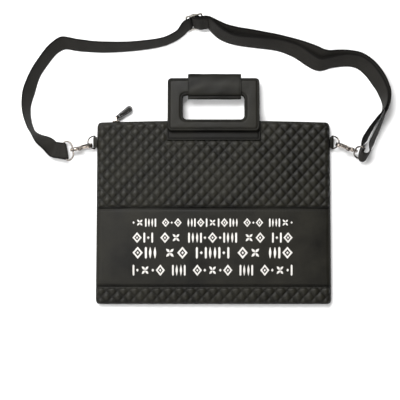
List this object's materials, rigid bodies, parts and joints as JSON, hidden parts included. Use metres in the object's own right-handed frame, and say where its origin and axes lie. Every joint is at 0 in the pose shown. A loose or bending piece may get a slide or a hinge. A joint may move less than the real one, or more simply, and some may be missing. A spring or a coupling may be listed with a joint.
{
  "type": "tallit bag",
  "caption": "Flat zipped bag of quilted and smooth black leather with a frame handle and a long adjustable shoulder strap on swivel hooks, lying on its back.",
  "frame": {"origin": "middle of the back panel's outer face, on the plane the bag rests on", "axes": "+X along the bag's width, +Y up towards the mouth and handle, +Z out of the front"},
  "size_m": [0.5711, 0.4503, 0.0315],
  "materials": {
    "quilted_leather": "satin, quilted in diamonds",
    "smooth_leather": "satin, fine grain",
    "zip_tape": "woven",
    "webbing": "woven",
    "nickel": "polished",
    "black_metal": "satin"
  },
  "bodies": {
    "bag": {"front_quilted_panel": "quilted_leather", "front_smooth_band": "smooth_leather", "front_quilted_hem": "quilted_leather", "back_panel": "smooth_leather", "zip_tape_back": "zip_tape", "zip_tape_front": "zip_tape", "zip_chain": "black_metal", "zip_slider": "nickel", "handle_patch": "smooth_leather", "handle_frame": "smooth_leather", "handle_grip": "smooth_leather", "left_ring_tab": "smooth_leather", "left_d_ring": "nickel", "left_hook_body": "nickel", "left_hook_bow": "nickel", "right_ring_tab": "smooth_leather", "right_d_ring": "nickel", "right_hook_body": "nickel", "right_hook_bow": "nickel", "strap_adjuster": "nickel", "strap": "webbing"},
    "left_gate": {"left_hook_gate": "nickel"},
    "right_gate": {"right_hook_gate": "nickel"},
    "puller": {"zip_puller": "black_metal", "puller_inlay": "smooth_leather"}
  },
  "joints": [
    {"name": "left_gate_swing", "type": "hinge", "parent": "bag", "child": "left_gate", "pos_m": [-0.20728, 0.09879, 0.01731], "axis": [-0.2347, 0.9416, 0.2413], "range_deg": [0, 15], "stiffness_Nm_per_rad": 0.01, "springref_deg": -17.19},
    {"name": "right_gate_swing", "type": "hinge", "parent": "bag", "child": "right_gate", "pos_m": [0.20752, 0.0985, 0.02014], "axis": [-0.316, -0.9176, -0.2413], "range_deg": [0, 15], "stiffness_Nm_per_rad": 0.01, "springref_deg": -17.19},
    {"name": "puller_swing", "type": "hinge", "parent": "bag", "child": "puller", "pos_m": [-0.15186, 0.14618, 0.0074], "axis": [0, 0, 1], "range_deg": [-25, 130]}
  ]
}
